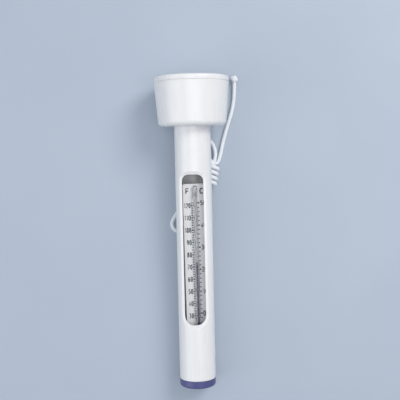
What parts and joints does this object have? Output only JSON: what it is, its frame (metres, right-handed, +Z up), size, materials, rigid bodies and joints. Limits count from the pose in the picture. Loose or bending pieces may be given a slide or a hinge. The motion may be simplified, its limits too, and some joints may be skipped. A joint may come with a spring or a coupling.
{
  "type": "floating pool thermometer",
  "caption": "Drum float on a windowed tube with a glass column and printed scale inside, a push-in end plug and a tether cord on an eyelet.",
  "frame": {"origin": "on the surface the part lies on, under the middle of its box without the cord", "axes": "+Z up and, within 4 degrees, out of the window, +Y along the tube towards the float, +X to the right of the scale"},
  "size_m": [0.0517, 0.1916, 0.045],
  "materials": {
    "white_shell": "moulded, glossy",
    "blue_plug": "moulded, glossy",
    "inner_plastic": "moulded, matt",
    "foam": "expanded foam, matt",
    "seal_rubber": "matt",
    "weight_steel": "turned",
    "scale_print": "printed strip, satin",
    "clear_glass": "clear",
    "spirit": "coloured spirit",
    "adhesive": "set clear glue",
    "cord": "braided, soft"
  },
  "bodies": {
    "casing": {"tube": "white_shell", "float_cup": "white_shell", "float_lid": "white_shell", "neck_seal": "seal_rubber", "lock_ring": "inner_plastic", "tube_stopper": "inner_plastic", "foam_core": "foam", "tether_lead": "cord", "tether_hank": "cord", "tether_tail": "cord", "end_knot": "cord", "eye_knot": "cord"},
    "insert": {"end_plug": "blue_plug", "ballast_weight": "weight_steel", "scale_plate": "scale_print", "glass_stem": "clear_glass", "bulb_spirit": "spirit", "spirit_column": "spirit", "stem_clip": "inner_plastic", "stem_adhesive": "adhesive", "bulb_cushion": "foam"},
    "reading": {"meniscus": "spirit"}
  },
  "joints": [
    {"name": "insert_pull", "type": "slide", "parent": "casing", "child": "insert", "axis": [0, -0.998, -0.0628], "range_m": [0, 0.12]},
    {"name": "spirit_rise", "type": "slide", "parent": "insert", "child": "reading", "axis": [-0.0093, 0.998, 0.0628], "range_m": [-0.0335, 0.0362], "deforming": ["spirit_column"]}
  ]
}
